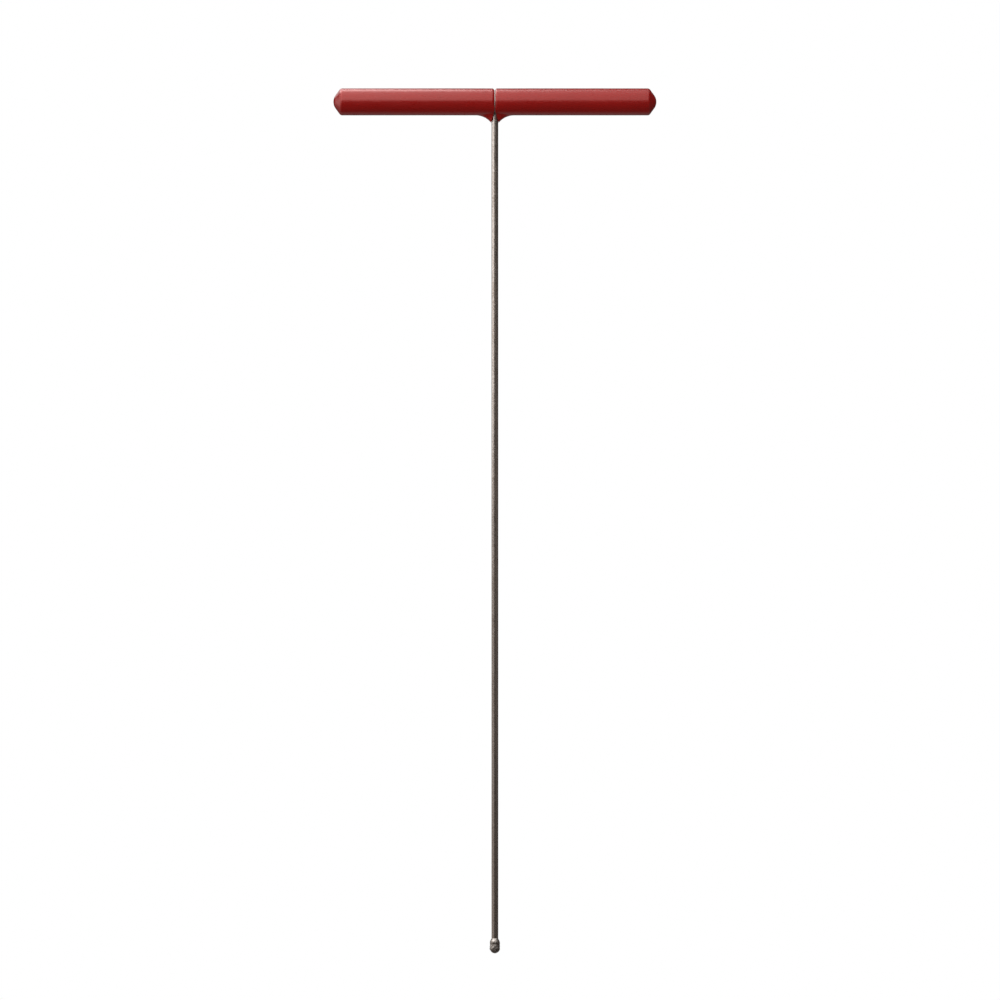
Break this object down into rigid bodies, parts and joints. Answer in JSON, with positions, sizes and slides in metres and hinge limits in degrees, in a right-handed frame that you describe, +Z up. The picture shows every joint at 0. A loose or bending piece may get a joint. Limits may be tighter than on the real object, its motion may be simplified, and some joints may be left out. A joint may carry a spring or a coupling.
{
  "type": "t-handle probe rod",
  "caption": "Slim round steel probe rod with a ball tip of weld metal and a T crossbar handle coated in thick red vinyl, domed at both ends.",
  "frame": {"origin": "centre of the crossbar, where the shaft's axis crosses the crossbar's axis; the tip is 1200.15 mm below it", "axes": "+Z up the shaft, +X along the crossbar to the right grip, +Y to the back"},
  "size_m": [0.4552, 0.0382, 1.2193],
  "materials": {
    "shaft_steel": "dark brown-grey mill finish, drawn, slightly mottled",
    "tube_steel": "plain mill finish",
    "plug_steel": "turned",
    "weld_metal": "as welded, rippled",
    "tip_metal": "as welded, lumpy, bright where it is rubbed",
    "grip_vinyl": "glossy dipped vinyl"
  },
  "bodies": {
    "root": {"probe_shaft": "shaft_steel", "crossbar_tube": "tube_steel", "crossbar_fillet_weld": "weld_metal", "crossbar_top_weld": "weld_metal", "end_plug_left": "plug_steel", "end_plug_right": "plug_steel", "grip_left": "grip_vinyl", "grip_right": "grip_vinyl", "tip_collar_bead": "tip_metal", "tip_nose_bead": "tip_metal"}
  },
  "joints": []
}
